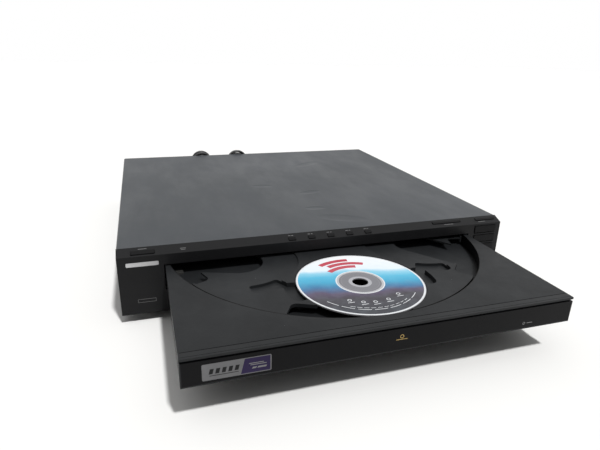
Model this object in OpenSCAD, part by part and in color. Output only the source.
// Five-disc DVD player with its carousel tray open, as an assembly of separate pieces.
// Millimetres. X is to the right seen from the front, Y to the back, Z up.
// The origin is on the table, under the middle of the body's footprint.
// Every piece is drawn with the tray fully out, which is the rest pose.

/* [Body] */
// Width of the body
body_w = 430; // [420:1:450]
// Depth from the front face to the rear edge of the cover
body_d = 408; // [400:1:430]
// Height of the cover's top above the table
body_top = 76; // [75.5:0.5:84]
// Height of the feet, up to the underside of the base pan
foot_h = 10; // [9:0.5:10.5]
// Thickness of the sheet steel
sheet = 1; // [0.8:0.1:1.2]
// Wall of the moulded front
wall = 2.5; // [2:0.1:3]
// Run of the sloped band along the top of the front, front to back
band_run = 11.6; // [10:0.2:13]
// Drop of the sloped band, from the cover down to the front face
band_drop = 4.9; // [4:0.1:6]

/* [Feet] */
// Diameter of a foot at its top
foot_d = 36; // [28:1:44]
// Distance of the front feet behind the front face
foot_inset = 32; // [26:1:50]
// Distance of the rear feet in front of the cover's rear edge
foot_rear_inset = 60; // [40:1:90]
// Distance of the feet from the body's sides
foot_side_inset = 32; // [26:1:60]
// Thickness of the rubber pad under a foot
pad_t = 1.5; // [1:0.1:2.5]

/* [Tray] */
// How far the tray comes out
tray_travel = 155; // [140:1:160]
// Width of the tray and its door
tray_w = 342; // [342:1:348]
// Height of the door's lower edge above the table
door_z = 34.4; // [34.2:0.1:35]
// Height of the door
door_h = 24.2; // [23.8:0.1:24.6]
// Depth of the door moulding, front to back
door_t = 8; // [7:0.5:9]
// Length of the drawer behind the door
drawer_len = 349; // [349:1:353]
// Height of the tray opening above the door's top edge
mouth_over = 1.6; // [1.2:0.1:2]
// Gap between the tray and the opening at the sides and below
mouth_gap = 1.3; // [1:0.1:1.6]
// Wall of the drawer moulding
drawer_wall = 2; // [1.8:0.1:2.4]

/* [Carousel] */
// Diameter of the carousel
carousel_d = 333; // [330:0.5:334]
// Gap between the carousel and the well around it
well_gap = 2; // [1.5:0.1:2.5]
// Distance of the carousel's centre behind the door's face
carousel_back = 185; // [184:0.5:187]
// Distance of a pocket's centre from the carousel's centre
pocket_pcd_r = 106; // [105.5:0.1:107]
// Depth of the carousel's top below the tray's top
carousel_drop = 1.2; // [1:0.1:1.5]
// Depth of a disc pocket
pocket_depth = 1.6; // [1.3:0.1:1.8]
// Thickness of the carousel under a pocket
carousel_t = 1.8; // [1.5:0.1:2]
// Depth of a finger scoop below the pocket's floor
scoop_depth = 2.8; // [2:0.1:3]
// Half the width of the slot in each pocket that lets the base unit through
slot_half = 25; // [24.5:0.5:27]

/* [Disc] */
// Diameter of a disc
disc_d = 120; // [119.6:0.1:120.4]
// Thickness of a disc
disc_t = 1.2; // [1.1:0.05:1.3]
// Diameter of the disc's centre hole
disc_hole_d = 15; // [14.9:0.05:15.1]

/* [Mechanism] */
// Height that the base unit rises to play a disc
lift = 22; // [20:0.5:22]
// Sideways travel of the cam that lifts the base unit
cam_travel = 36; // [34:1:40]
// Travel of the optical pickup
sled_travel = 34; // [30:1:36]
// Tooth size of the rack and the pinion that moves it
rack_module = 1.5; // [1.4:0.1:1.5]
// Teeth of the pinion on the rack
rack_pinion_teeth = 16; // [16:1:17]
// Teeth of the large wheel of the drive gear
drive_teeth = 40; // [38:1:41]
// Teeth of the small gear on the belt pulley
pulley_teeth = 14; // [13:1:15]
// Teeth of the ring under the carousel
ring_teeth = 60; // [58:1:61]
// Teeth of the pinion that turns the carousel
table_teeth = 12; // [12:1:14]
// Pressure angle of all the teeth
pressure_angle = 25; // [24:0.5:26]
// Play between meshed teeth, along the pitch line
backlash = 0.2; // [0.16:0.02:0.3]
// Radial clearance of a shaft in its bore
run_gap = 0.05; // [0.03:0.01:0.08]

/* [Buttons] */
// Width of a disc button
disc_button_w = 7.5; // [6.5:0.5:9]
// Distance between two disc buttons
disc_button_pitch = 21.6; // [18:0.2:24]
// Width of the power button
power_w = 22; // [16:1:24]
// Width of the disc exchange button
skip_w = 37; // [24:1:38]
// Width of the open button
open_w = 26; // [18:1:28]
// Height of a key on the front
key_h = 9; // [8:0.2:9.4]
// Distance between two keys on the front
key_pitch = 11.5; // [11:0.1:11.8]
// Distance of a key's ends from the walls beside it
key_margin = 5.1; // [4:0.1:7]
// Gap around a button in its hole
button_gap = 0.35; // [0.25:0.05:0.45]
// How far a button stands out of the surface
button_proud = 0.7; // [0.5:0.1:1]

/* [Rear] */
// Height of the jacks' lower row above the table
jack_z = 27; // [25:0.5:30]
// Distance between two jacks
jack_pitch = 14; // [13:0.5:16]
// Outer diameter of a jack's barrel
jack_d = 8.3; // [8.2:0.05:8.4]
// Length of a jack's barrel behind the panel
jack_len = 9; // [8:0.5:10]
// Position of the power cord's gland, to the right of the middle
gland_x = -184; // [-190:1:-181]
// Length of the tapered sleeve on the power cord, behind its flange
gland_len = 22; // [20:1:24]
// Height of the power cord's gland above the table
gland_z = 30; // [26:1:36]

/* [Cord] */
// Width of the flat power cord
cord_w = 5.4; // [5:0.1:5.6]
// Thickness of the flat power cord
cord_t = 3; // [2.8:0.1:3.1]
// Distance between two turns of the tied hank
hank_step = 4.2; // [4:0.1:4.6]
// Height of the standing hank
hank_h = 84; // [80:1:88]
// Width of the standing hank
hank_w = 102; // [98:1:108]

/* [Hidden] */
$fn = 64;
cut = 0.5; // how far a cutting shape runs past a face
seat = 0.2; // gap between pieces that slide on each other
soft_seat = 0.3; // gap where a piece rests near its seat

// Levels and edges of the body
front_y = -body_d / 2;
rear_y = body_d / 2;
pan_z = foot_h + sheet; // top of the base pan
inner_top = body_top - sheet; // underside of the cover
inner_x = body_w / 2 - sheet; // inner face of the cover's side
cover_front_y = front_y + band_run;
band_z = body_top - band_drop; // top edge of the front face
band_angle = atan(band_drop / band_run);
band_len = sqrt(band_drop * band_drop + band_run * band_run);
panel_y = rear_y - 2 * sheet; // inner face of the rear panel

// The tray, drawn fully out
tray_top = door_z + door_h;
tray_x = tray_w / 2;
door_y = front_y - tray_travel;
drawer_y = door_y + door_t;
drawer_rear_y = drawer_y + drawer_len;
mouth_x = tray_x + mouth_gap;
lip_t = 2; // of the frame around the tray's mouth
mouth_low = door_z - 1;
mouth_high = tray_top + mouth_over;
carousel_y = door_y + carousel_back;
carousel_r = carousel_d / 2;
well_r = carousel_r + well_gap;
carousel_top = tray_top - carousel_drop;
pocket_z = carousel_top - pocket_depth;
carousel_low = pocket_z - carousel_t;
scoop_z = pocket_z - scoop_depth;
scoop_low = scoop_z - carousel_t;
floor_z = scoop_low - 4.2; // top of the drawer's floor
floor_low = floor_z - drawer_wall;
runner_low = floor_low - 6.5; // underside of the drawer's runners
runner_t = 2.5;
runner_in = tray_x - 6;
pocket_r = disc_d / 2 + 0.8;
pockets = 5;
pocket_step = 360 / pockets;
front_pocket = -90; // direction of the pocket at the front of the tray
play_pocket = 126; // direction of the pocket that plays with the tray in

// Where a disc plays
play_x = pocket_pcd_r * cos(play_pocket);
play_y = carousel_y + tray_travel + pocket_pcd_r * sin(play_pocket);

// Levels of the mechanism
deck_t = 2.5;
deck_top = door_z - 1.4;
deck_z = deck_top - deck_t;
frame_z = pan_z + 4; // underside of the base unit's frame at rest
frame_t = 2;
frame_top = frame_z + frame_t;
platter_rest = tray_top + 0.6 - lift; // top of the spindle's platter at rest
bridge_z = tray_top + 4.4; // underside of the clamp bridge
bridge_t = 1.2;

STEEL = "silver";
BLACK = [0.09, 0.09, 0.10];
COVER = [0.22, 0.23, 0.24];
TRAY = [0.16, 0.17, 0.18];
GREEN = [0.10, 0.35, 0.18];
WHITE = [0.90, 0.90, 0.88];

// ---- shared shapes ----

function polar(r, a) = [r * cos(a), r * sin(a)];

function arc(centre, r, a0, a1, n) = [for (i = [0 : n]) centre + polar(r, a0 + (a1 - a0) * i / n)];

// A piece of a ring between two radii and two angles, with rounded corners
function ring_piece(r0, r1, a0, a1, round0, round1) =
    let (d0 = asin(round0 / (r0 + round0)), d1 = asin(round1 / (r1 - round1)))
    concat(
        arc(polar(r1 - round1, a0 + d1), round1, a0 - 90, a0 + d1, 4),
        arc([0, 0], r1, a0 + d1, a1 - d1, 6),
        arc(polar(r1 - round1, a1 - d1), round1, a1 - d1, a1 + 90, 4),
        arc(polar(r0 + round0, a1 - d0), round0, a1 + 90, a1 - d0 + 180, 4),
        arc([0, 0], r0, a1 - d0, a0 + d0, 6),
        arc(polar(r0 + round0, a0 + d0), round0, a0 + d0 + 180, a0 + 270, 4)
    );

module box(x0, x1, y0, y1, z0, z1) {
    translate([x0, y0, z0]) cube([x1 - x0, y1 - y0, z1 - z0]);
}

module post(x, y, d, z0, z1) {
    translate([x, y, z0]) cylinder(h = z1 - z0, d = d);
}

// A bar along Y
module bar_y(x, z, d, y0, y1) {
    translate([x, y0, z]) rotate([-90, 0, 0]) cylinder(h = y1 - y0, d = d);
}

module round_rect(w, h, r) {
    square([w - 2 * r, h], center = true);
    square([w, h - 2 * r], center = true);
    for (x = [-1, 1], y = [-1, 1]) translate([x * (w / 2 - r), y * (h / 2 - r)]) circle(r, $fn = 32);
}

// Draws on the sloped band: X along it, Y up the slope, Z out of it
module on_band(x, s) {
    translate([x, front_y, band_z]) rotate([band_angle, 0, 0]) translate([0, s, 0]) children();
}

// ---- gears ----

function involute(a) = tan(a) * 180 / PI - a;

// Half the angle of a tooth at radius r
function half_tooth(r, m, n) =
    let (base = m * n / 2 * cos(pressure_angle))
    90 / n - backlash / 2 * 360 / (PI * m * n) + involute(pressure_angle)
    - involute(acos(min(1, base / max(r, base))));

function gear_outline(m, n) =
    let (
        root = m * (n / 2 - 1.25),
        tip = m * (n / 2 + 0.95),
        low = max(root + 0.01, m * n / 2 * cos(pressure_angle)),
        steps = 3
    )
    [for (i = [0 : n - 1]) each concat(
        [polar(root, i * 360 / n - half_tooth(low, m, n))],
        [for (k = [0 : steps]) let (r = low + (tip - low) * k / steps)
            polar(r, i * 360 / n - half_tooth(r, m, n))],
        [for (k = [steps : -1 : 0]) let (r = low + (tip - low) * k / steps)
            polar(r, i * 360 / n + half_tooth(r, m, n))],
        [polar(root, i * 360 / n + half_tooth(low, m, n))]
    )];

// A gear whose tooth points along the angle
module gear(m, n, angle, h) {
    rotate(angle) linear_extrude(h) polygon(gear_outline(m, n));
}

// A rack along Y whose pitch line is x = 0 and whose teeth point to +X, with a gap at y = 0
module rack(m, y0, y1, back, h) {
    pitch = PI * m;
    half = pitch / 4 - backlash / 4;
    slope = tan(pressure_angle);
    tip = 0.95 * m;
    root = 1.25 * m;
    first = ceil(y0 / pitch);
    last = floor(y1 / pitch) - 1;
    teeth = [for (i = [first : last]) let (y = (i + 0.5) * pitch) each [
        [-root, y - half - root * slope], [tip, y - half + tip * slope],
        [tip, y + half - tip * slope], [-root, y + half + root * slope]
    ]];
    linear_extrude(h) polygon(concat([[-root - back, y0], [-root, y0]], teeth,
        [[-root, y1], [-root - back, y1]]));
}

// ---- the casing ----

pan_x = inner_x - seat;
flange_h = 14;
slot_pitch = 7; // of the cooling slots
slot_cut = 3; // and their width
side_screw_z = pan_z + 7;
side_screw_y = [front_y + 84, rear_y - 84];
rear_screw_x = [25 - body_w / 2, 0, body_w / 2 - 25];
rear_screw_z = body_top - 5;
screw_d = 3;
screw_hole_d = 3.4;
studs_z = frame_z + lift + frame_t + 1.3; // top of the studs that guide the base unit
stud_d = 4;
stud_x = 31; // either side of the spindle
stud_y = 68; // behind the spindle
cam_y = play_y - 27.5; // front face of the lift cam
cam_t = 2;
cam_guide_h = frame_z - 0.8; // top of the lips that guide the cam

foot_x = body_w / 2 - foot_side_inset;
foot_places = [for (x = [-1, 1], y = [front_y + foot_inset, rear_y - foot_rear_inset]) [x * foot_x, y]];

module base_pan() {
    color(STEEL) difference() {
        union() {
            box(-pan_x, pan_x, cover_front_y, panel_y, foot_h, pan_z);
            for (s = [-1, 1]) {
                box(min(s * pan_x, s * (pan_x - sheet)), max(s * pan_x, s * (pan_x - sheet)),
                    cover_front_y, panel_y, foot_h, pan_z + flange_h);
            }
            // lips that the lift cam slides between
            box(play_x - 60, play_x + 60, cam_y - 1.3, cam_y - 0.3, pan_z - cut, cam_guide_h);
            box(play_x - 60, play_x + 60, cam_y + cam_t + 0.3, cam_y + cam_t + 1.3,
                pan_z - cut, cam_guide_h);
            for (s = [-1, 1]) post(play_x + s * stud_x, play_y + stud_y, stud_d, pan_z - cut, studs_z);
        }
        for (p = foot_places) post(p[0], p[1], screw_hole_d, foot_h - cut, pan_z + cut);
        for (s = [-1, 1], y = side_screw_y) {
            translate([s * pan_x, y, side_screw_z]) rotate([0, 90, 0])
                cylinder(h = 6, d = screw_hole_d, center = true);
        }
        // cooling slots under the power board
        for (i = [0 : 9], y = power_y0 + 8 + i * slot_pitch) {
            box(power_x0 + 16, power_x0 + 56, y, y + slot_cut, foot_h - cut, pan_z + cut);
        }
    }
}

cover_bend = 2.2; // outer radius of the cover's bends

module cover_section(w, top, low, r) {
    translate([-w / 2, low]) square([w, top - low - r]);
    translate([-w / 2 + r, low]) square([w - 2 * r, top - low]);
    for (s = [-1, 1]) translate([s * (w / 2 - r), top - r]) circle(r, $fn = 32);
}

module top_cover() {
    color(COVER) difference() {
        translate([0, rear_y, 0]) rotate([90, 0, 0]) linear_extrude(rear_y - cover_front_y)
            cover_section(body_w, body_top, foot_h, cover_bend);
        translate([0, rear_y - sheet, 0]) rotate([90, 0, 0]) linear_extrude(body_d)
            cover_section(body_w - 2 * sheet, inner_top, foot_h - cut, cover_bend - sheet);
        box(-inner_x, inner_x, rear_y - 2 * sheet, rear_y + cut, foot_h - cut, body_top - 10);
        for (s = [-1, 1], y = side_screw_y) {
            translate([s * inner_x, y, side_screw_z]) rotate([0, 90, 0])
                cylinder(h = 6, d = screw_hole_d, center = true);
        }
        for (x = rear_screw_x) bar_y(x, rear_screw_z, screw_hole_d, rear_y - 3 * sheet, rear_y + cut);
    }
}

board_z = pan_z + 7; // underside of the main and power boards
main_x1 = inner_x - 10;
main_x0 = main_x1 - 196;
main_y0 = panel_y - 196;
power_x0 = 8 - inner_x;
power_x1 = play_x - stud_x - 18.7;
power_y0 = panel_y - 140;
jack_x0 = main_x0 + 52; // the leftmost audio and video jack
hdmi_x = main_x0 + 20;
hdmi_z = jack_z + 2;
component_x = jack_x0 + 3.4 * jack_pitch;
digital_x = component_x + 3 * jack_pitch;
jack_hole_d = jack_d + 0.6;
vent_x = power_x1 - 10; // the leftmost slot in the rear panel

module rear_panel() {
    color(STEEL) difference() {
        union() {
            box(-pan_x, pan_x, panel_y, panel_y + sheet, pan_z, inner_top - cover_bend);
            box(-pan_x + cover_bend, pan_x - cover_bend, panel_y, panel_y + sheet, pan_z, inner_top - seat);
        }
        for (i = [0 : 2]) bar_y(jack_x0, jack_z + i * jack_pitch, jack_hole_d, panel_y - cut, rear_y);
        for (i = [0 : 2]) bar_y(component_x, jack_z + i * jack_pitch, jack_hole_d, panel_y - cut, rear_y);
        bar_y(digital_x, jack_z, jack_hole_d, panel_y - cut, rear_y);
        box(hdmi_x - 7.8, hdmi_x + 7.8, panel_y - cut, rear_y, hdmi_z - 3.2, hdmi_z + 3.2);
        bar_y(gland_x, gland_z, 11, panel_y - cut, rear_y);
        for (x = rear_screw_x) bar_y(x, rear_screw_z, screw_hole_d, panel_y - cut, rear_y);
        for (i = [0 : 8], x = vent_x + 2 * i * slot_cut) {
            box(x, x + slot_cut, panel_y - cut, rear_y, inner_top - 31, inner_top - 13);
        }
    }
}

power_x = -body_w / 2 + 24;
open_x = body_w / 2 - 18;
skip_x = open_x - open_w / 2 - 21.5 - skip_w / 2 + 1;
key_x = (mouth_x + body_w / 2) / 2 + 0.5;
key_w = body_w / 2 - wall - mouth_x - lip_t - 2 * key_margin;
key_top = mouth_high + 8.3;
band_s = 4.4; // how far up the slope the small buttons are centred
long_s = 8; // the same for the long buttons
small_l = 4.6; // size of a small button along the slope
long_l = 3.8;

function disc_button_x(i) = 1 + (i - 3) * disc_button_pitch;

// Every button on the band: place along X, place up the slope, width, length
band_buttons = concat(
    [[power_x, band_s + 0.6, power_w, small_l + 0.4]],
    [for (i = [1 : 5]) [disc_button_x(i), band_s, disc_button_w, small_l]],
    [[skip_x, long_s, skip_w, long_l], [open_x, long_s - 0.4, open_w, long_l]]
);
keys = 3;

function key_z(i) = key_top - key_h / 2 - i * key_pitch;

window_w = 140;
window_low = foot_h + 4.5;
window_high = mouth_low - 4;
window_gap = 0.1;
lip_d = 8;
strip_n = 7.5; // depth of the switch strip under the band
strip_t = 1.6;
strip_s = 2.6; // how far up the slope the strip starts
strip_posts = [-165, -66, 66, 118];
display_y = front_y + wall + 7; // front of the display's board

module front_shell_section(inset) {
    k = inset * tan((90 - band_angle) / 2);
    rise = inset / cos(band_angle);
    polygon([
        [front_y + inset, foot_h + inset],
        [front_y + inset, band_z - k],
        [cover_front_y, body_top - rise],
        [cover_front_y + (inset > 0 ? cut : 0), body_top - rise],
        [cover_front_y + (inset > 0 ? cut : 0), foot_h + inset]
    ]);
}

module along_x(w) {
    rotate([90, 0, 90]) translate([0, 0, -w / 2]) linear_extrude(w) children();
}

module front_bezel() {
    color(BLACK) difference() {
        union() {
            difference() {
                along_x(body_w) front_shell_section(0);
                along_x(body_w - 2 * wall) front_shell_section(wall);
            }
            // the lip under the cover's front edge
            box(-inner_x + 3, inner_x - 3, cover_front_y - 1.5, cover_front_y + 9,
                inner_top - seat - 1.6, inner_top - seat);
            // the frame around the tray's mouth
            difference() {
                box(-mouth_x - lip_t, mouth_x + lip_t, front_y + wall - cut, front_y + lip_d,
                    mouth_low - lip_t, mouth_high + lip_t);
                box(-mouth_x, mouth_x, front_y, front_y + lip_d + cut, mouth_low, mouth_high);
            }
            // bosses that carry the display's board and the strip of switches
            for (s = [-1, 1]) bar_y(s * (window_w / 2 + 12), 22, 6, front_y + wall - cut, display_y);
            for (x = strip_posts) on_band(x, 6.3) translate([0, 0, -strip_n])
                cylinder(h = strip_n - wall + cut, d = 4);
        }
        box(-mouth_x, mouth_x, front_y - cut, front_y + wall + cut, mouth_low, mouth_high);
        box(-window_w / 2, window_w / 2, front_y - cut, front_y + wall + cut, window_low, window_high);
        for (b = band_buttons) on_band(b[0], b[1]) translate([0, 0, -wall - 1]) linear_extrude(wall + 2)
            round_rect(b[2] + 2 * button_gap, b[3] + 2 * button_gap, 1);
        for (i = [0 : keys - 1]) {
            box(key_x - key_w / 2 - button_gap, key_x + key_w / 2 + button_gap, front_y - cut,
                front_y + wall + cut, key_z(i) - key_h / 2 - button_gap, key_z(i) + key_h / 2 + button_gap);
        }
    }
}

module display_window() {
    color([0.05, 0.04, 0.06, 0.8]) {
        box(-window_w / 2 + window_gap, window_w / 2 - window_gap, front_y, front_y + wall,
            window_low + window_gap, window_high - window_gap);
        box(-window_w / 2 - 2, window_w / 2 + 2, front_y + wall, front_y + wall + 1,
            window_low - 1.5, window_high + 1.5);
    }
}

tube_w = 96;

module display_tube() {
    color([0.25, 0.35, 0.33]) {
        box(-tube_w / 2, tube_w / 2, front_y + wall + 1.4, display_y, window_low, window_high);
        for (s = [-1, 1]) box(s * tube_w / 2 - 1.5, s * tube_w / 2 + 1.5, display_y - 2, display_y,
            window_low + 3, window_high - 3);
    }
}

board_t = 1.6;
switch_h = 1.8; // a switch's body
switch_press = 0.7; // and the plunger on it
switch_gap = 0.7; // from a plunger to what presses it, more than the stroke
key_stem_drop = 2.6; // how far below a key's middle its switch sits
key_board_y = front_y + wall + 7.5;

module tact_switch() {
    translate([0, 0, switch_h / 2]) cube([5, 4, switch_h], center = true);
    cylinder(h = switch_h + switch_press, d = 2.4, $fn = 24);
}

module front_boards() {
    color(GREEN) {
        box(-window_w / 2 - 16, window_w / 2 + 16, display_y, display_y + board_t,
            foot_h + wall + 0.5, mouth_low - lip_t - 0.4);
        on_band(0, strip_s) translate([-body_w / 2 + wall + 0.5, 0, -strip_n - strip_t])
            cube([body_w - 2 * wall - 1, band_len - strip_s - 1.4, strip_t]);
        for (b = band_buttons) on_band(b[0], b[1] > 6 ? b[1] - 0.8 : b[1])
            translate([0, 0, -strip_n]) tact_switch();
        box(mouth_x + lip_t + 4, body_w / 2 - wall, key_board_y, key_board_y + board_t,
            door_z, key_z(0) + 1);
        for (i = [0 : keys - 1]) {
            translate([key_x, key_board_y, key_z(i) - key_stem_drop]) rotate([90, 0, 0]) tact_switch();
        }
    }
}

module feet() {
    color(BLACK) for (p = foot_places) translate([p[0], p[1], pad_t]) {
        difference() {
            union() {
                cylinder(h = foot_h - pad_t, d1 = foot_d - 4, d2 = foot_d);
                cylinder(h = foot_h - pad_t + sheet + 2, d = screw_d);
                translate([0, 0, foot_h - pad_t + sheet]) cylinder(h = 2, d = 7);
            }
            translate([0, 0, -1]) cylinder(h = 1.5, d = foot_d - 10);
        }
    }
}

module foot_pads() {
    color([0.06, 0.06, 0.06]) for (p = foot_places) translate([p[0], p[1], 0])
        cylinder(h = pad_t + 0.5, d = foot_d - 10);
}

module screw_head() {
    difference() {
        union() {
            cylinder(h = 1.1, d = 6.4);
            translate([0, 0, 1.1]) cylinder(h = 0.8, d1 = 6.4, d2 = 4.2);
            translate([0, 0, -5]) cylinder(h = 5.5, d = screw_d);
        }
        for (a = [0, 90]) rotate(a) translate([-1.7, -0.4, 1]) cube([3.4, 0.8, 2]);
    }
}

module case_screws() {
    color([0.12, 0.12, 0.13]) {
        for (s = [-1, 1], y = side_screw_y) {
            translate([s * body_w / 2, y, side_screw_z]) rotate([0, s * 90, 0]) screw_head();
        }
        for (x = rear_screw_x) translate([x, rear_y, rear_screw_z]) rotate([-90, 0, 0]) screw_head();
    }
}

// ---- boards and sockets ----

// A chip on the main board, placed from the board's front left corner
module chip(x, y, w, h) {
    box(main_x0 + x, main_x0 + x + w, main_y0 + y, main_y0 + y + w, board_z + board_t, board_z + board_t + h);
}

// A round part that stands on a board
module can(x, y, d, h) {
    post(x, y, d, board_z + board_t, board_z + board_t + h);
}

// A board with a hole for the deck's leg that stands through it
module holed_board(x0, x1, y0, y1) {
    difference() {
        box(x0, x1, y0, y1, board_z, board_z + board_t);
        for (p = deck_legs) post(p[0], p[1], pillar_d + 1, board_z - cut, board_z + board_t + cut);
    }
}

module main_board() {
    color(GREEN) {
        holed_board(main_x0, main_x1, main_y0, panel_y - 2);
        for (x = [main_x0 + 8, main_x1 - 8], y = [main_y0 + 8, panel_y - 12]) {
            post(x, y, 5, pan_z, board_z);
        }
        chip(52, 54, 28, 1.6);
        chip(96, 50, 20, 1.4);
        chip(54, 96, 14, 1.2);
        chip(132, 64, 16, 1.4);
        chip(102, 104, 12, 1.2);
        // capacitors, in a row and by the sockets
        for (i = [0 : 6]) can(main_x0 + 32 + i * 20, panel_y - 52, 6.3, 8);
        for (i = [0 : 3]) can(main_x0 + 22, main_y0 + 34 + i * 22, 8, 9);
        // connectors for the flat cables
        for (c = [[32, 22], [142, 40]]) box(main_x0 + c[0], main_x0 + c[0] + c[1], main_y0 + 8, main_y0 + 13,
            board_z + board_t, board_z + board_t + 6);
    }
}

sink_y = power_y0 + 30; // front end of the heat sink
fin_pitch = 7.6;

module power_board() {
    color([0.55, 0.42, 0.22]) {
        holed_board(power_x0, power_x1, power_y0, panel_y - 2);
        for (x = [power_x0 + 8, power_x1 - 8], y = [power_y0 + 8, panel_y - 10]) {
            post(x, y, 5, pan_z, board_z);
        }
        can(power_x0 + 16, power_y0 + 18, 18, 11);
        can(power_x1 - 48, power_y0 + 20, 10, 10);
        can(power_x1 - 34, power_y0 + 34, 8, 10);
        can(power_x1 - 20, power_y0 + 14, 8, 10);
        // the heat sink with its fins
        box(power_x0 + 6, power_x0 + 8, sink_y, sink_y + 5 * fin_pitch, board_z + board_t, board_z + board_t + 10);
        for (i = [0 : 5]) box(power_x0 + 6, power_x0 + 16, sink_y + i * fin_pitch, sink_y + i * fin_pitch + 1.5,
            board_z + board_t, board_z + board_t + 10);
        // the socket of the power cord's leads
        box(power_x0 + 18, power_x0 + 26, panel_y - 22, panel_y - 6, board_z + board_t, board_z + board_t + 8);
    }
}

core_x = power_x1 - 28;
core_y = panel_y - 28;

module transformer() {
    core_z = board_z + board_t;
    color([0.75, 0.62, 0.20]) difference() {
        union() {
            box(core_x - 15, core_x + 15, core_y - 8, core_y + 8, core_z + 3, core_z + 26);
            box(core_x - 13, core_x + 13, core_y - 12, core_y + 12, core_z, core_z + 3);
            box(core_x - 11, core_x + 11, core_y - 13, core_y + 13, core_z + 6, core_z + 23);
        }
        box(core_x - 11, core_x - 9, core_y - 14, core_y + 14, core_z + 6, core_z + 23);
        box(core_x + 9, core_x + 11, core_y - 14, core_y + 14, core_z + 6, core_z + 23);
    }
}

jack_front = panel_y + sheet; // the panel's outer face

module jack_barrel(x, z) {
    difference() {
        union() {
            bar_y(x, z, jack_d, jack_front - sheet - 6, jack_front + jack_len);
            bar_y(x, z, jack_d + 3.4, jack_front, jack_front + 1.6);
        }
        bar_y(x, z, 3.4, jack_front - 1, jack_front + jack_len + cut);
    }
}

module jack_block(x, rows) {
    box(x - 6.2, x + 6.2, panel_y - 12, panel_y - 0.1, board_z + board_t,
        jack_z + (rows - 1) * jack_pitch + 6.2);
}

module av_jacks() {
    color(WHITE) {
        jack_block(jack_x0, 3);
        for (i = [0 : 2]) jack_barrel(jack_x0, jack_z + i * jack_pitch);
    }
}

module component_jacks() {
    color([0.15, 0.45, 0.25]) {
        jack_block(component_x, 3);
        for (i = [0 : 2]) jack_barrel(component_x, jack_z + i * jack_pitch);
    }
}

module digital_jack() {
    color([0.95, 0.45, 0.10]) {
        jack_block(digital_x, 1);
        jack_barrel(digital_x, jack_z);
    }
}

module hdmi_socket() {
    y0 = panel_y - 9;
    y1 = jack_front + 0.8;
    color([0.7, 0.7, 0.72]) {
        difference() {
            translate([hdmi_x, y0, hdmi_z]) rotate([-90, 0, 0]) linear_extrude(y1 - y0)
                polygon([[-7.5, -2.8], [7.5, -2.8], [7.5, 0.4], [5.6, 2.8], [-5.6, 2.8], [-7.5, 0.4]]);
            translate([hdmi_x, y0 + 1, hdmi_z]) rotate([-90, 0, 0]) linear_extrude(y1 - y0)
                polygon([[-7, -2.3], [7, -2.3], [7, 0.2], [5.2, 2.3], [-5.2, 2.3], [-7, 0.2]]);
        }
        box(hdmi_x - 5.5, hdmi_x + 5.5, y0 + 1, y1 - 1.5, hdmi_z - 0.5, hdmi_z + 0.5);
        box(hdmi_x - 7.5, hdmi_x + 7.5, y0, y0 + 7, board_z + board_t, hdmi_z - 2.8);
    }
}

gland_flange = 3;
gland_end = jack_front + gland_flange + gland_len; // where the cord leaves the gland

module cord_gland() {
    color(BLACK) difference() {
        union() {
            bar_y(gland_x, gland_z, 10.8, panel_y - 4, jack_front);
            bar_y(gland_x, gland_z, 15, jack_front, jack_front + gland_flange);
            bar_y(gland_x, gland_z, 15, panel_y - 4, panel_y);
            translate([gland_x, jack_front + gland_flange, gland_z]) rotate([-90, 0, 0])
                cylinder(h = gland_len, d1 = 12, d2 = 8);
        }
        // grooves that let the sleeve bend
        for (i = [1 : 5]) translate([gland_x, jack_front + gland_flange + i * gland_len / 6, gland_z])
            rotate([-90, 0, 0]) difference() {
                cylinder(h = 1.2, d = 16);
                cylinder(h = 1.2, d = 7);
            }
    }
}

// ---- the mechanism's chassis ----

guide_x = tray_x + mouth_gap; // inner face of the deck's side walls
guide_wall = 2.5;
guide_top = tray_top - 1.6;
deck_front = front_y + 14;
deck_rear = drawer_rear_y + tray_travel + 6;
rack_x = 110; // pitch line of the rack
rack_pinion_r = rack_module * rack_pinion_teeth / 2;
drive_x = rack_x + rack_pinion_r;
drive_y = front_y + 39;
drive_m = 1;
drive_r = drive_m * drive_teeth / 2;
pulley_r = drive_m * pulley_teeth / 2;
pulley_x = drive_x + drive_r + pulley_r;
pulley_y = drive_y;
motor_y = pulley_y + 50;
big_wheel_r = 14; // where the belt runs on the large pulley
small_wheel_r = 3.5; // and on the motor's
belt_t = 1.6;
belt_z = deck_top + 0.8;
wheel_z = belt_z + belt_t + 0.9; // underside of the toothed wheels
wheel_t = 3.6;
post_d = 4;
shaft_d = 2;
tab_y = [deck_front + 2, front_y + 110, front_y + 176, front_y + 240, front_y + 300];
leg_x = guide_x - 4.3;
tab_len = 20;
// Places of the deck's legs, from the middle of the front face
leg_places = [
    [-leg_x, 34], [leg_x, 34], [-leg_x, 164], [leg_x, 164], [-leg_x, 352], [leg_x, 352],
    [90, 34], [-60, 20], [-6, 357], [95, 108]
];
deck_legs = [for (p = leg_places) [p[0], front_y + p[1]]];
pillar_d = 8;

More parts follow.
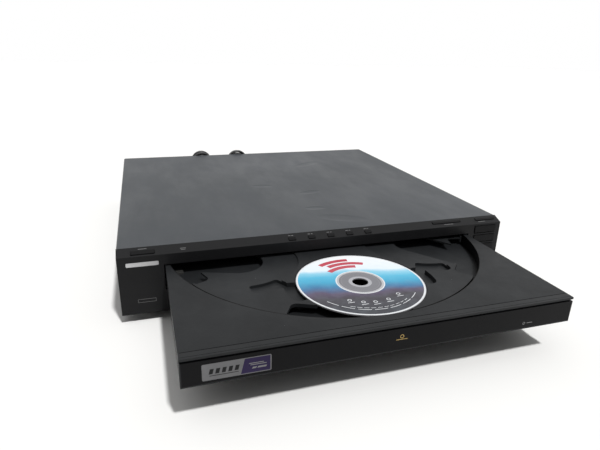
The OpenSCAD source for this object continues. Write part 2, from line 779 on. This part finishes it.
module mech_deck() {
    color([0.13, 0.13, 0.14]) difference() {
        union() {
            box(-guide_x - guide_wall, guide_x + guide_wall, deck_front, deck_rear, deck_z, deck_top);
            for (s = [-1, 1]) {
                mirror([s < 0 ? 1 : 0, 0, 0]) {
                    box(guide_x, guide_x + guide_wall, deck_front, deck_rear, deck_z, guide_top);
                    box(runner_in + 1, guide_x + cut, deck_front, deck_rear, deck_z, runner_low - seat);
                    for (y = tab_y) box(runner_in + 1.2, guide_x + cut, y, y + tab_len,
                        runner_low + runner_t + seat + 0.1, floor_low - 0.3);
                    // ribs outside the wall
                    for (y = [deck_front + 4 : 44 : deck_rear - 4]) {
                        box(guide_x + guide_wall - cut, guide_x + guide_wall + 4, y, y + 2,
                            deck_z, guide_top - 12);
                    }
                }
            }
            for (p = deck_legs) post(p[0], p[1], pillar_d, pan_z, deck_z + cut);
            post(drive_x, drive_y, 7, deck_top - cut, wheel_z - 0.2);
            post(pulley_x, pulley_y, 6, deck_top - cut, belt_z - 0.6);
            post(drive_x, drive_y, post_d, deck_top, floor_low - 0.6);
            post(pulley_x, pulley_y, post_d, deck_top, wheel_z + wheel_t + 0.2);
        }
        // openings over the front, over the main board and over the base unit
        box(-158, 78, deck_front + 14, front_y + 224, deck_z - cut, deck_top + cut);
        box(14, 158, front_y + 122, deck_rear - 14, deck_z - cut, deck_top + cut);
        box(play_x - 36, play_x + 36, cam_y - 4, play_y + 80, deck_z - cut, deck_top + cut);
        box(play_x - 62, play_x + 62, cam_y - 3, cam_y + cam_t + 3, deck_z - cut, deck_top + cut);
        box(-158, -112, front_y + 238, front_y + 348, deck_z - cut, deck_top + cut);
        post(pulley_x, motor_y, 9, deck_z - cut, deck_top + cut);
    }
}

bridge_y0 = play_y - 22;
bridge_y1 = play_y + 23;
bridge_x = guide_x + guide_wall; // inner face of the bridge's legs
clamp_hole_d = 28;

module clamp_bridge() {
    color(STEEL) difference() {
        union() {
            box(-bridge_x - bridge_t, bridge_x + bridge_t, bridge_y0, bridge_y1, bridge_z, bridge_z + bridge_t);
            for (y = [bridge_y0, bridge_y1 - bridge_t]) {
                box(-bridge_x - bridge_t, bridge_x + bridge_t, y, y + bridge_t, bridge_z, bridge_z + 7);
            }
            for (s = [-1, 1]) mirror([s < 0 ? 1 : 0, 0, 0]) {
                box(bridge_x, bridge_x + bridge_t, bridge_y0 + 2, bridge_y1 - 2, guide_top - 11, bridge_z + cut);
            }
        }
        post(play_x, play_y, clamp_hole_d, bridge_z - cut, bridge_z + bridge_t + cut);
        for (x = [-130, 20, 70, 120]) box(x - 16, x + 16, play_y - 9, play_y + 9,
            bridge_z - cut, bridge_z + bridge_t + cut);
    }
}

clamper_low = tray_top + 0.6 + disc_t + 0.1; // it just meets a disc that is lifted
clamper_flange_z = bridge_z + bridge_t + soft_seat;

module clamper() {
    color(WHITE) translate([play_x, play_y, 0]) difference() {
        union() {
            translate([0, 0, clamper_low]) cylinder(h = bridge_z - 0.3 - clamper_low, d = 32);
            translate([0, 0, clamper_low]) cylinder(h = clamper_flange_z + 2 - clamper_low,
                d = clamp_hole_d - 1);
            translate([0, 0, clamper_flange_z]) cylinder(h = 2, d = 34);
        }
        translate([0, 0, clamper_low - cut]) cylinder(h = 3, d = disc_hole_d + 1);
        translate([0, 0, clamper_flange_z + 1.2]) difference() {
            cylinder(h = 2, d = 26);
            cylinder(h = 2, d = 8);
        }
    }
}

// ---- the loading drive ----

module loading_motor() {
    color([0.72, 0.72, 0.70]) {
        difference() {
            post(pulley_x, motor_y, 24, deck_z - 17.5, deck_z);
            for (s = [-1, 1]) box(pulley_x + s * 13.2 - 3, pulley_x + s * 13.2 + 3, motor_y - 8, motor_y + 8,
                deck_z - 18, deck_z - 2);
        }
        post(pulley_x, motor_y, 6.5, deck_z - cut, deck_z + 1.5);
        post(pulley_x, motor_y, shaft_d, deck_z, belt_z + belt_t + 1);
    }
}

module pulley_wheel(r, flange) {
    cylinder(h = 0.5, r = r + flange);
    cylinder(h = belt_t + 0.8, r = r);
    translate([0, 0, belt_t + 0.5]) cylinder(h = 0.5, r = r + flange);
}

belt_play = 0.1; // between the belt and the wheels' flanges

module motor_pulley() {
    color([0.8, 0.65, 0.25]) translate([pulley_x, motor_y, belt_z - 0.5]) difference() {
        pulley_wheel(small_wheel_r, 1);
        translate([0, 0, -cut]) cylinder(h = 6, d = shaft_d + 2 * run_gap);
    }
}

// A loop round the two wheels, r larger than where the belt runs
module belt_loop(r) {
    big = big_wheel_r + r;
    small = small_wheel_r + r;
    span = motor_y - pulley_y;
    lean = asin((big - small) / span);
    circle(big);
    translate([0, span]) circle(small);
    polygon([
        big * [cos(lean), sin(lean)], [0, span] + small * [cos(lean), sin(lean)],
        [0, span] + small * [-cos(lean), sin(lean)], big * [-cos(lean), sin(lean)]
    ]);
}

module drive_belt() {
    color([0.05, 0.05, 0.05]) translate([pulley_x, pulley_y, belt_z + belt_play])
        linear_extrude(belt_t - 2 * belt_play) difference() {
            belt_loop(0.08 + belt_t);
            belt_loop(0.08);
        }
}

module pulley_gear() {
    color(WHITE) translate([pulley_x, pulley_y, 0]) difference() {
        union() {
            translate([0, 0, belt_z - 0.5]) pulley_wheel(big_wheel_r, 1.2);
            translate([0, 0, belt_z + belt_t + 0.4])
                gear(drive_m, pulley_teeth, 180, wheel_z + wheel_t - belt_z - belt_t - 0.4);
        }
        translate([0, 0, belt_z - 2]) cylinder(h = 20, d = post_d + 2 * run_gap);
    }
}

module drive_gear() {
    color(WHITE) translate([drive_x, drive_y, 0]) difference() {
        union() {
            translate([0, 0, wheel_z])
                gear(drive_m, drive_teeth, 180 / drive_teeth, wheel_t);
            translate([0, 0, wheel_z]) cylinder(h = wheel_t + 1, r = 8);
            translate([0, 0, wheel_z + wheel_t + 0.6])
                gear(rack_module, rack_pinion_teeth, 180, floor_low - 0.9 - wheel_z - wheel_t - 0.6);
        }
        translate([0, 0, wheel_z - 1]) cylinder(h = 20, d = post_d + 2 * run_gap);
        for (a = [0 : 72 : 288]) rotate(a + 18) translate([13.4, 0, wheel_z - 1]) cylinder(h = wheel_t + 2, d = 6.5);
    }
}

// ---- the base unit, drawn lowered ----

pin_d = 3;
pin_z = frame_z + 1;
pin_x = 14; // either side of the spindle
cam_slope = atan(lift / cam_travel);
cam_low = pan_z + soft_seat;
cam_high = pin_z + lift + pin_d / 2 + 1.7;
cam_slot = pin_d / 2 + 0.15;

module cam_slot_cut(x) {
    for (t = [0, 1]) translate([x - t * cam_travel, 0, pin_z + t * lift]) rotate([-90, 0, 0])
        cylinder(h = 3 * cam_t, r = cam_slot);
    translate([x, 0, pin_z]) rotate([0, cam_slope, 0])
        translate([-cam_travel / cos(cam_slope), 0, -cam_slot])
            cube([cam_travel / cos(cam_slope), 3 * cam_t, 2 * cam_slot]);
}

module lift_cam() {
    color(WHITE) difference() {
        union() {
            box(play_x - pin_x - cam_travel - 7, play_x + pin_x + 7, cam_y, cam_y + cam_t, cam_low, cam_high);
        }
        translate([0, cam_y - cam_t, 0]) for (s = [-1, 1]) cam_slot_cut(play_x + s * pin_x);
        // lightened above and below the slots
        translate([0, cam_y - cut, 0]) {
            translate([play_x - pin_x - cam_travel + 6, 0, cam_low + 6]) rotate([-90, 0, 0])
                cylinder(h = cam_t + 1, d = 6);
            translate([play_x + pin_x - 2, 0, cam_high - 8]) rotate([-90, 0, 0])
                cylinder(h = cam_t + 1, d = 8);
        }
    }
}

unit_half = 23; // half the width of the base unit's frame
unit_front = -20; // its front and rear edges, from the spindle
unit_rear = 77;
rail_d = 3;
rail_z = frame_top + 9;
rail_left = -17;
rail_right = 19.5;
rail_front = 7; // where the rails' brackets start and end, from the spindle
rail_rear = 73;
lens_y = 24; // the lens behind the spindle, at the start of a disc
sled_m = 0.8;
sled_teeth = 14;
sled_gear_r = sled_m * sled_teeth / 2;
sled_rack_x = 12.5; // pitch line of the pickup's rack, from the spindle
sled_gear_x = sled_rack_x - sled_gear_r;
sled_gear_y = lens_y + 12;
motor_d = 23;

module base_unit() {
    color([0.15, 0.15, 0.17]) translate([play_x, play_y, 0]) difference() {
        union() {
            box(-unit_half, unit_half, unit_front, unit_rear, frame_z, frame_top);
            box(-unit_half, unit_half, unit_front, unit_front + 1.5, frame_z - 0.5, frame_top + 4);
            for (s = [-1, 1]) {
                bar_y(s * pin_x, pin_z, pin_d, cam_y - play_y - 0.8, unit_front + 0.5);
                box(s > 0 ? unit_half - 1.5 : -unit_half, s > 0 ? unit_half : -unit_half + 1.5,
                    unit_front, unit_rear, frame_z, frame_top + 3);
                // ears on the guide studs
                box(s > 0 ? unit_half - 1 : -stud_x - 4, s > 0 ? stud_x + 4 : -unit_half + 1,
                    stud_y - 5, stud_y + 5, frame_z, frame_top);
            }
            for (x = [rail_left, rail_right], y = [rail_front, rail_rear]) {
                box(x - 3.3, x + 3.3, y, y + 3, frame_z, rail_z + 2.6);
            }
        }
        for (s = [-1, 1]) translate([s * stud_x, stud_y, frame_z - 1])
            cylinder(h = frame_t + 2, d = stud_d + 2 * run_gap);
        for (x = [rail_left, rail_right], y = [rail_front, rail_rear]) {
            bar_y(x, rail_z, rail_d + 0.1, y - 1, y + 4);
        }
        // the window under the pickup, and the hole for its motor's shaft
        box(-13, sled_gear_x - sled_gear_r - 1, 16, 68, frame_z - 1, frame_top + 1);
        translate([sled_gear_x, sled_gear_y, frame_z - 1]) cylinder(h = 4, d = 4);
    }
}

module spindle_motor() {
    top = platter_rest - 8;
    color([0.75, 0.75, 0.74]) translate([play_x, play_y, 0]) {
        translate([0, 0, frame_top]) cylinder(h = top - frame_top - 1.2, d = motor_d);
        translate([0, 0, top - 1.7]) cylinder(h = 1.7, d = motor_d - 4);
        translate([0, 0, top - 1]) cylinder(h = platter_rest - top, d = shaft_d);
    }
}

cone_h = 1.8;

module spindle_hub() {
    color([0.2, 0.2, 0.22]) translate([play_x, play_y, platter_rest]) difference() {
        union() {
            translate([0, 0, -2]) cylinder(h = 2, d = 29);
            translate([0, 0, -7.6]) cylinder(h = 6, d = 15);
            cylinder(h = 0.8, d = disc_hole_d - 0.3);
            translate([0, 0, 0.8]) cylinder(h = cone_h - 0.8, d1 = disc_hole_d - 0.3, d2 = disc_hole_d - 3);
        }
        translate([0, 0, -9]) cylinder(h = 8.6, d = shaft_d + 2 * run_gap);
    }
}

module sled_rails() {
    color([0.85, 0.85, 0.87]) for (x = [rail_left, rail_right])
        bar_y(play_x + x, rail_z, rail_d, play_y + rail_front + 0.2, play_y + rail_rear + 2.8);
}

sled_half = 12; // half the pickup's length along its travel
sled_low = frame_top + 5.5;
sled_top = platter_rest - 4.7;
sleeve_d = 7;

module pickup_sled() {
    color([0.10, 0.10, 0.11]) translate([play_x, play_y, 0]) difference() {
        union() {
            box(-13, 15, lens_y - sled_half, lens_y + sled_half, sled_low, sled_top);
            translate([0, lens_y, sled_top - cut]) cylinder(h = 2 + cut, d = 11);
            for (x = [rail_left, rail_right]) {
                bar_y(x, rail_z, sleeve_d, lens_y - sled_half + 2, lens_y + sled_half - 2);
                box(min(x, x > 0 ? 14 : -12), max(x, x > 0 ? 14 : -12), lens_y - sled_half + 3,
                    lens_y + sled_half - 3, rail_z - 2.5, rail_z + 2.5);
            }
            translate([sled_rack_x, sled_gear_y, frame_top + 1.2]) mirror([1, 0, 0])
                rack(sled_m, -sled_travel - 4, 4, 1.6, sled_low - frame_top - 1.2 + 0.5);
            box(sled_rack_x + sled_m * 1.25, sled_rack_x + sled_m * 1.25 + 1.6,
                sled_gear_y - sled_travel - 4, lens_y - sled_half + 1, frame_top + 1.2, sled_low + 2);
        }
        for (x = [rail_left, rail_right]) bar_y(x, rail_z, rail_d + 2 * run_gap, 0, 60);
        translate([0, lens_y, sled_top + 1]) cylinder(h = 3, d = 6.2);
    }
}

module pickup_lens() {
    color([0.35, 0.30, 0.55, 0.8]) translate([play_x, play_y + lens_y, sled_top + 1]) {
        cylinder(h = 1.2, d = 6);
        translate([0, 0, 1.2]) intersection() {
            cylinder(h = 0.9, d = 5);
            translate([0, 0, -3.2]) sphere(r = 4.1, $fn = 48);
        }
    }
}

module sled_gear() {
    color(WHITE) translate([play_x + sled_gear_x, play_y + sled_gear_y, frame_top + 1]) difference() {
        union() {
            gear(sled_m, sled_teeth, 0, sled_low - frame_top - 1.6);
            translate([0, 0, -0.7]) cylinder(h = 1, d = 6);
        }
        translate([0, 0, -1]) cylinder(h = 8, d = shaft_d + 2 * run_gap);
    }
}

module sled_motor() {
    color([0.75, 0.75, 0.74]) translate([play_x + sled_gear_x, play_y + sled_gear_y, 0]) {
        translate([0, 0, frame_z - 3.4]) cylinder(h = 3.4, d = 14);
        translate([0, 0, frame_z - 0.4]) cylinder(h = sled_low - frame_z - 0.2, d = shaft_d);
    }
}

// ---- the tray ----

slot_w = slot_half + 2;
table_m = 2;
ring_r = table_m * ring_teeth / 2;
table_r = table_m * table_teeth / 2;
table_angle = -50;
table_x = (ring_r + table_r) * cos(table_angle);
table_y = carousel_y + (ring_r + table_r) * sin(table_angle);
hub_d = 14;
cap_gap = 0.1; // between the carousel and its cap
rack_t = 4;

module slab_well(z0, z1, r) {
    translate([0, carousel_y, z0]) cylinder(h = z1 - z0, r = r, $fn = 128);
}

module tray_drawer() {
    in_x = tray_x - drawer_wall;
    color(TRAY) difference() {
        union() {
            intersection() {
                box(-tray_x, tray_x, drawer_y, drawer_rear_y, floor_low, tray_top);
                union() {
                    box(-tray_x, tray_x, drawer_y, drawer_rear_y, tray_top - drawer_wall, tray_top);
                    box(-tray_x, tray_x, drawer_y, drawer_rear_y, floor_low, floor_z);
                    slab_well(floor_low, tray_top, well_r + drawer_wall);
                    difference() {
                        box(-tray_x, tray_x, drawer_y, drawer_rear_y, floor_low, tray_top);
                        box(-in_x, in_x, drawer_y + drawer_wall, drawer_rear_y - drawer_wall,
                            floor_low - cut, tray_top + cut);
                    }
                }
            }
            // the runners, an angle along each side
            for (s = [-1, 1]) mirror([s < 0 ? 1 : 0, 0, 0]) {
                box(runner_in - drawer_wall, runner_in, drawer_y, drawer_rear_y, runner_low, floor_low + cut);
                box(runner_in - drawer_wall, tray_x, drawer_y, drawer_rear_y, runner_low,
                    runner_low + runner_t);
            }
            box(-tray_x, tray_x, drawer_y, drawer_y + drawer_wall, runner_low, floor_low + cut);
            box(-runner_in, runner_in, drawer_rear_y - drawer_wall, drawer_rear_y, floor_low - 2.8,
                floor_low + cut);
            // the rack that the drive gear moves
            translate([rack_x, drive_y, floor_low - 3.8])
                rack(rack_module, -tray_travel - 12, 10, rack_t, 3.8 + cut);
            translate([0, carousel_y, floor_low]) cylinder(h = scoop_low - floor_low - 0.4, d = 24);
            translate([0, carousel_y, floor_low]) cylinder(h = carousel_top + cap_gap - floor_low, d = hub_d);
            // ribs under the floor
            for (x = [-120, 0, 60]) box(x - 1, x + 1, drawer_y, drawer_y + 60, floor_low - 4, floor_low + cut);
        }
        difference() {
            slab_well(floor_z, tray_top + cut, well_r);
            slab_well(floor_z - cut, scoop_low - 0.4, 12);
            slab_well(floor_z - cut, carousel_top + cap_gap, hub_d / 2);
        }
        // the opening that the base unit rises through
        box(play_x - slot_w, play_x + slot_w, play_y - tray_travel + unit_front - 3,
            play_y - tray_travel + unit_rear + 2, floor_low - cut, tray_top + cut);
        // windows under the corners
        for (a = [45, 135, 225, 315]) translate([0, carousel_y - 2.5, floor_low - cut]) rotate(a)
            translate([well_r + 37, 0, 0]) cylinder(h = drawer_wall + 2 * cut, d = 34);
        translate([table_x, table_y, floor_low - cut]) cylinder(h = drawer_wall + 2 * cut, d = 8);
        translate([0, carousel_y, carousel_top - 8]) cylinder(h = 9, d = 3);
    }
}

ledge_t = 2;
groove_h = 1.8;
groove_d = 3;
face_t = 1.5;
face_edge = 1;

module tray_door() {
    color(TRAY) difference() {
        box(-tray_x, tray_x, door_y, drawer_y, door_z, tray_top);
        // the shadow groove under the ledge
        box(-tray_x - cut, tray_x + cut, door_y - cut, door_y + groove_d, tray_top - ledge_t - groove_h,
            tray_top - ledge_t);
        // the seat of the glossy face
        box(-tray_x + face_edge, tray_x - face_edge, door_y - cut, door_y + face_t, door_z + face_edge,
            tray_top - ledge_t - groove_h + cut);
        // hollow behind, with ribs left between the pockets
        for (i = [0 : 5]) {
            x0 = -tray_x + 3 + i * (tray_x - 2) / 3;
            box(x0, x0 + (tray_x - 2) / 3 - 2, door_y + face_t + groove_d, drawer_y + cut,
                door_z + 2.5, tray_top - ledge_t - groove_h - 2);
        }
    }
}

module door_face() {
    color([0.02, 0.02, 0.025]) box(-tray_x + face_edge, tray_x - face_edge, door_y, door_y + face_t,
        door_z + face_edge, tray_top - ledge_t - groove_h);
}

module table_motor() {
    color([0.72, 0.72, 0.70]) translate([table_x, table_y, 0]) {
        difference() {
            translate([0, 0, door_z + 0.2]) cylinder(h = floor_low - door_z - 0.2, d = 24);
            translate([0, 0, door_z]) cylinder(h = 1, d = 8);
        }
        translate([0, 0, floor_low - cut]) cylinder(h = floor_z - floor_low, d = 6);
        translate([0, 0, floor_low - cut]) cylinder(h = carousel_low - floor_low - 0.3, d = shaft_d);
    }
}

module table_pinion() {
    color(WHITE) translate([table_x, table_y, floor_z + 0.5]) difference() {
        gear(table_m, table_teeth, table_angle + 180 + 180 / table_teeth, carousel_low - floor_z - 1.5);
        translate([0, 0, -1]) cylinder(h = 12, d = shaft_d + 2 * run_gap);
    }
}

rim_t = 2;
rim_low = carousel_low - 4;
glides = 6;
glide_a = -111.5;

module carousel_glides() {
    color(WHITE) translate([0, carousel_y, floor_z]) for (i = [0 : glides - 1]) rotate(glide_a + i * 360 / glides) {
        translate([carousel_r - 10, -4.5, 0]) cube([10, 9, rim_low - floor_z - seat - 1]);
        translate([carousel_r - 10, -3, 0]) cube([10, 6, rim_low - floor_z - seat]);
    }
}

notch_from = -29.7;
notch_to = 7.6;
notch_in = 19.5; // depth of the notch in from the rim
scoop_mid = 87; // direction of a scoop, from the pocket's own
scoop_half = 15.5;
scoop_out = 12; // how far a scoop goes past the pocket
scoop_in = 7.5;

module each_pocket() {
    for (i = [0 : pockets - 1]) rotate(front_pocket + i * pocket_step) children();
}

module scoops(grow) {
    for (s = [-1, 1]) translate([pocket_pcd_r, 0]) polygon(ring_piece(pocket_r - scoop_in - grow,
        pocket_r + scoop_out + grow, s * scoop_mid - scoop_half - grow, s * scoop_mid + scoop_half + grow,
        3, 7));
}

module carousel() {
    color(TRAY) translate([0, carousel_y, 0]) difference() {
        union() {
            translate([0, 0, carousel_low]) cylinder(h = carousel_top - carousel_low, r = carousel_r, $fn = 128);
            difference() {
                translate([0, 0, rim_low]) cylinder(h = carousel_low - rim_low + cut, r = carousel_r, $fn = 128);
                translate([0, 0, rim_low - cut]) cylinder(h = carousel_low - rim_low + cut,
                    r = carousel_r - rim_t, $fn = 128);
            }
            // the cups under the finger scoops
            each_pocket() translate([0, 0, scoop_low]) linear_extrude(carousel_low - scoop_low + cut)
                scoops(1.6);
            translate([0, 0, rim_low - 1.5]) gear(table_m, ring_teeth, table_angle, carousel_low - rim_low + 1.5 + cut);
        }
        // hollow inside the toothed ring
        difference() {
            translate([0, 0, rim_low - 2]) cylinder(h = carousel_low - rim_low + 2, r = ring_r - 5);
            translate([0, 0, rim_low - 3]) cylinder(h = 20, d = hub_d + 6);
        }
        translate([0, 0, rim_low - 3]) cylinder(h = scoop_low + 0.3 - rim_low + 3, d = hub_d + 8);
        translate([0, 0, rim_low - 3]) cylinder(h = 20, d = hub_d + 2 * run_gap);
        each_pocket() {
            translate([pocket_pcd_r, 0, pocket_z]) cylinder(h = pocket_depth + cut, r = pocket_r);
            // the slot for the spindle and the pickup, open to the rim
            translate([pocket_pcd_r, 0, rim_low - cut]) {
                cylinder(h = 20, r = slot_half);
                rotate(play_pocket > 90 ? 90 - play_pocket : 0) translate([0, -slot_half, 0])
                    cube([90, 2 * slot_half, 20]);
            }
            translate([0, 0, rim_low - cut]) linear_extrude(20)
                polygon(ring_piece(carousel_r - notch_in, carousel_r + 8, notch_from, notch_to, 6, 3));
            translate([0, 0, scoop_z]) linear_extrude(20) scoops(0);
        }
    }
}

module carousel_cap() {
    color([0.12, 0.12, 0.13]) translate([0, carousel_y, carousel_top + cap_gap]) {
        cylinder(h = 0.9, d = 26);
        translate([0, 0, -6]) cylinder(h = 6.5, d = 2.9);
    }
}

disc_y = carousel_y - pocket_pcd_r;
disc_gap = 0.05; // under the disc

module disc() {
    color([0.55, 0.75, 0.85]) translate([0, disc_y, pocket_z + disc_gap]) difference() {
        cylinder(h = disc_t, d = disc_d, $fn = 96);
        translate([0, 0, -cut]) cylinder(h = disc_t + 2 * cut, d = disc_hole_d);
    }
}

// ---- buttons and keys ----

button_stop = 1.2; // thickness of the flange behind the wall
button_back = 0.6; // from the wall to that flange

module band_button(i) {
    b = band_buttons[i];
    color(BLACK) on_band(b[0], b[1]) difference() {
        union() {
            translate([0, 0, -wall - button_back - 0.4]) linear_extrude(wall + button_back + 0.4 + button_proud)
                round_rect(b[2], b[3], 0.8);
            translate([0, 0, -wall - button_back - button_stop]) linear_extrude(button_stop)
                round_rect(b[2] + 1.6, b[3] + (b[1] > 6 ? 0.6 : 1.2), 0.5);
        }
        // the dished top
        translate([0, b[3] * 0.9, button_proud + 7.7]) rotate([0, 90, 0])
            cylinder(h = b[2] + 4, r = 8, center = true);
    }
}

key_proud = 1;

module front_key(i) {
    color(BLACK) difference() {
        union() {
            translate([key_x, front_y - key_proud, key_z(i)]) rotate([-90, 0, 0])
                linear_extrude(wall + key_proud + 0.6) round_rect(key_w, key_h, 1);
            box(key_x - key_w / 2 - 0.9, key_x + key_w / 2 + 0.9, front_y + wall + 0.6, front_y + wall + 1.8,
                key_z(i) - key_h / 2 - 0.7, key_z(i) + key_h / 2 + 0.7);
            bar_y(key_x, key_z(i) - key_stem_drop, 3, front_y + wall + 1,
                key_board_y - switch_h - switch_press - switch_gap);
        }
        // the lower edge is undercut, which leaves a dark line
        translate([key_x, front_y - key_proud, key_z(i) - key_h / 2]) rotate([45, 0, 0])
            cube([key_w + 2, 1.6, 1.6], center = true);
    }
}

// ---- the power cord ----

sides = 8;
hank_sides = 6;

function unit(v) = v / norm(v);

hank_slim = 0.93; // a section of six sides is drawn this much smaller, to keep the cord's volume

// The section of the flat cord, as offsets along its width and its thickness
function section(n) =
    let (grow = (n == hank_sides ? hank_slim : 1) / cos(180 / n))
    [for (k = [0 : n - 1]) let (a = (k + 0.5) * 360 / n) [cord_w / 2 * cos(a) * grow, cord_t / 2 * sin(a) * grow]];

module tube(points, across, n) {
    last = len(points) - 1;
    s = section(n);
    rings = [for (i = [0 : last]) let (
        t = unit(points[min(i + 1, last)] - points[max(i - 1, 0)]),
        b = unit(across[i] - (across[i] * t) * t),
        u = cross(t, b)
    ) each [for (k = [0 : n - 1]) points[i] + b * s[k][0] + u * s[k][1]]];
    walls = [for (i = [0 : last - 1], k = [0 : n - 1]) each [
        [i * n + k, (i + 1) * n + k, (i + 1) * n + (k + 1) % n],
        [i * n + k, (i + 1) * n + (k + 1) % n, i * n + (k + 1) % n]
    ]];
    ends = [for (k = [1 : n - 2]) each [[0, k, k + 1], [last * n, last * n + k + 1, last * n + k]]];
    polyhedron(rings, concat(walls, ends));
}

// The hank: a bow tie of loops that stands on the table behind the body. Its outline is arcs
// round four lobes and two hollows at the waist, joined by straight lines.
hank_x = -54.5; // the middle of the hank
hank_y = rear_y + 5; // its first layer
layer_step = cord_w + 1;
hank_low = cord_t / 2 + 0.1;
hank_mid = hank_low + (hank_h - cord_t) / 2;
lobe_r = 18;
lobe_x = (hank_w - cord_t) / 2 - lobe_r;
lobe_z = (hank_h - cord_t) / 2 - lobe_r;
waist = 12; // half the height of the drawn-in waist
waist_r = 10;
waist_z = waist + waist_r;
lean = acos((lobe_r + waist_r) / norm([lobe_x, lobe_z - waist_z])) - atan((lobe_z - waist_z) / lobe_x);
hank_loops = 4;

// Stations along an arc: centre, side that the centre lies on, and outward direction
function stations(x, z, side, a0, a1, n) = [for (i = [0 : n]) [x, z, side, a0 + (a1 - a0) * i / n]];

// One loop, from the lowest point of the left lobe to where it starts again
hank_loop = concat(
    stations(-lobe_x, -lobe_z, 1, -90, -lean, 3),
    stations(0, -waist_z, -1, -lean, lean - 180, 6),
    stations(lobe_x, -lobe_z, 1, lean - 180, -90, 3),
    stations(lobe_x, -lobe_z, 1, -67.5, 0, 3),
    stations(lobe_x, lobe_z, 1, 0, 180 - lean, 7),
    stations(0, waist_z, -1, 180 - lean, lean, 6),
    stations(-lobe_x, lobe_z, 1, lean, 180, 7),
    stations(-lobe_x, -lobe_z, 1, 180, 247.5, 3)
);
hank_count = len(hank_loop);
hank_last = hank_loops * hank_count + 14; // the lowest point of the right lobe

function hank_point(i) =
    let (
        s = hank_loop[i % hank_count],
        inset = hank_step * min(i, hank_last - i) / hank_count,
        r = s[2] > 0 ? lobe_r - inset : -waist_r - inset,
        rise = max(0, min(1, (i - hank_last / 2) / (hank_count / 5) + 0.5))
    )
    [hank_x + s[0] + r * cos(s[3]), hank_y + layer_step * (0.5 - cos(180 * rise) / 2),
        hank_mid + s[1] + r * sin(s[3])];

lead = 14; // straight length before the hank
plug_lead = 26; // and after it, up to the plug
hank_start = hank_point(0);
hank_end = hank_point(hank_last);
hank_path = concat(
    [hank_start - [lead, 0, 0], hank_start - [lead / 2, 0, 0]],
    [for (i = [0 : hank_last]) hank_point(i)],
    [hank_end + [plug_lead / 2, 0, 0], hank_end + [plug_lead, 0, 0]]
);

// The least gap between two turns, measured between the stations
function turn_gap(p, q) = norm([max(0, norm([p[0] - q[0], p[2] - q[2]]) - cord_t), max(0, abs(p[1] - q[1]) - cord_w)]);
echo(hank_gap = min([for (i = [0 : len(hank_path) - 1], j = [i + 8 : 1 : len(hank_path) - 1])
    turn_gap(hank_path[i], hank_path[j])]));

// The free stretch. It leaves the gland, turns round to the right while it comes down to the
// table, and turns back into the hank. Each station is a heading on one of two arcs.
run_lead = 6; // straight out of the gland
run_r = 28; // radius of the first turn
run_back_r = 24; // radius of the turn back
run_drop = 90; // length over which the cord comes down
run_y = gland_end + run_lead;
run_turn = acos((hank_y - run_y + run_back_r) / (run_r + run_back_r));
run_out = [for (i = [0 : 12]) 90 - i * (90 + run_turn) / 12]; // headings of the first turn
run_back = [for (i = [1 : 6]) run_turn * (i / 6 - 1)];
run_mid = [gland_x + run_r, run_y] + run_r * [sin(run_turn), cos(run_turn)];

function run_z(s) = gland_z - (gland_z - hank_start[2]) * (0.5 - cos(180 * min(1, s / run_drop)) / 2);

run_path = concat(
    [[gland_x, gland_end, gland_z]],
    [for (h = run_out) [gland_x + run_r - run_r * sin(h), run_y + run_r * cos(h), run_z(run_r * (90 - h) * PI / 180)]],
    [for (h = run_back) let (at = run_mid + run_back_r * [sin(run_turn) + sin(h), cos(run_turn) - cos(h)])
        [at[0], at[1], run_z(run_drop)]],
    [hank_start - [lead, 0, 0]]
);
run_heading = concat([90], run_out, run_back, [0]);

module cord_run() {
    color(BLACK) tube(run_path, [for (h = run_heading) [sin(h), -cos(h), 0]], sides);
}

module cord_hank() {
    color(BLACK) tube(hank_path, [for (p = hank_path) [0, -1, 0]], hank_sides);
}

tie_gap = 0.5;
tie_half_h = waist + cord_t / 2 + tie_gap + 1.5;
tie_w = 9;

module cord_tie() {
    y0 = hank_y - cord_w / 2 - tie_gap;
    y1 = hank_y + layer_step + cord_w / 2 + tie_gap;
    z = hank_mid;
    color([0.03, 0.03, 0.03]) difference() {
        box(hank_x - tie_w / 2, hank_x + tie_w / 2, y0 - 0.8, y1 + 0.8, z - tie_half_h - 0.8, z + tie_half_h + 0.8);
        box(hank_x - tie_w, hank_x + tie_w, y0, y1, z - tie_half_h, z + tie_half_h);
    }
}

plug_x = hank_end[0] + plug_lead;
plug_len = 26;
plug_y = hank_end[1];
plug_d = 18;
plug_rest = 0.05; // from the table to the plug
plug_z = plug_rest + plug_d / 2;

module plug_body() {
    color(BLACK) translate([plug_x, plug_y, 0]) {
        translate([9, 0, plug_z]) rotate([0, 90, 0]) cylinder(h = plug_len - 9, d = plug_d);
        translate([0, -4, plug_rest]) cube([12, 8, 8.4]);
    }
}

module plug_blades() {
    color([0.8, 0.8, 0.78]) for (s = [-1, 1])
        translate([plug_x + plug_len, plug_y + s * 6.35 - 0.75, plug_z - 3.2]) cube([16, 1.5, 6.4]);
}

// ---- the model ----

base_pan();
top_cover();
rear_panel();
front_bezel();
display_window();
display_tube();
front_boards();
feet();
foot_pads();
case_screws();
main_board();
power_board();
transformer();
hdmi_socket();
av_jacks();
component_jacks();
digital_jack();
cord_gland();
mech_deck();
clamp_bridge();
clamper();
loading_motor();
motor_pulley();
drive_belt();
pulley_gear();
drive_gear();
lift_cam();
base_unit();
spindle_motor();
spindle_hub();
sled_rails();
pickup_sled();
pickup_lens();
sled_gear();
sled_motor();
tray_drawer();
tray_door();
door_face();
table_motor();
table_pinion();
carousel_glides();
carousel();
carousel_cap();
disc();
band_button(0);  // power_button
band_button(1);  // disc_button_1
band_button(2);  // disc_button_2
band_button(3);  // disc_button_3
band_button(4);  // disc_button_4
band_button(5);  // disc_button_5
band_button(6);  // skip_button
band_button(7);  // open_button
front_key(0);  // play_key
front_key(1);  // pause_key
front_key(2);  // stop_key
cord_run();
cord_hank();
cord_tie();
plug_body();
plug_blades();
